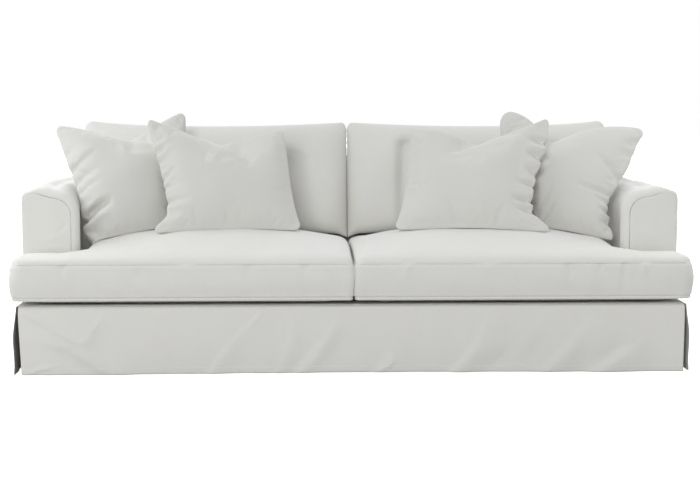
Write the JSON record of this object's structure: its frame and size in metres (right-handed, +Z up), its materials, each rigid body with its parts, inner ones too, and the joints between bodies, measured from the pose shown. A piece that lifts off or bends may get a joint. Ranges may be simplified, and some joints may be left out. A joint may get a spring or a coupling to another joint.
{
  "type": "sofa slipcover set",
  "caption": "Loose-fitting cloth cover set for a sofa: hollow body cover with corner vents to the floor, filled seat, back and scatter cushions.",
  "frame": {"origin": "centre of the footprint, at the hems' level on the floor", "axes": "+Z up, +X along the sofa to its right-hand end as seen from the front, front towards -Y"},
  "size_m": [2.472, 1.0292, 0.9198],
  "materials": {
    "cloth": "matt off-white cotton and linen cloth, plain weave",
    "cushion_cloth": "matt off-white cotton and linen cloth, plain weave, over a soft filling",
    "scatter_cloth": "matt off-white cotton and linen cloth, plain weave, over a down-like filling"
  },
  "bodies": {
    "root": {"front_drop": "cloth", "deck": "cloth", "inside_back": "cloth", "back_band": "cloth", "outside_back": "cloth", "arm_front_left": "cloth", "arm_front_right": "cloth", "arm_cover_left": "cloth", "arm_cover_right": "cloth", "side_drop_left": "cloth", "side_drop_right": "cloth", "seat_cushion_left": "cushion_cloth", "seat_cushion_right": "cushion_cloth", "back_cushion_left": "cushion_cloth", "back_cushion_right": "cushion_cloth", "scatter_cushion_left_outer": "scatter_cloth", "scatter_cushion_left_inner": "scatter_cloth", "scatter_cushion_right_inner": "scatter_cloth", "scatter_cushion_right_outer": "scatter_cloth"}
  },
  "joints": []
}
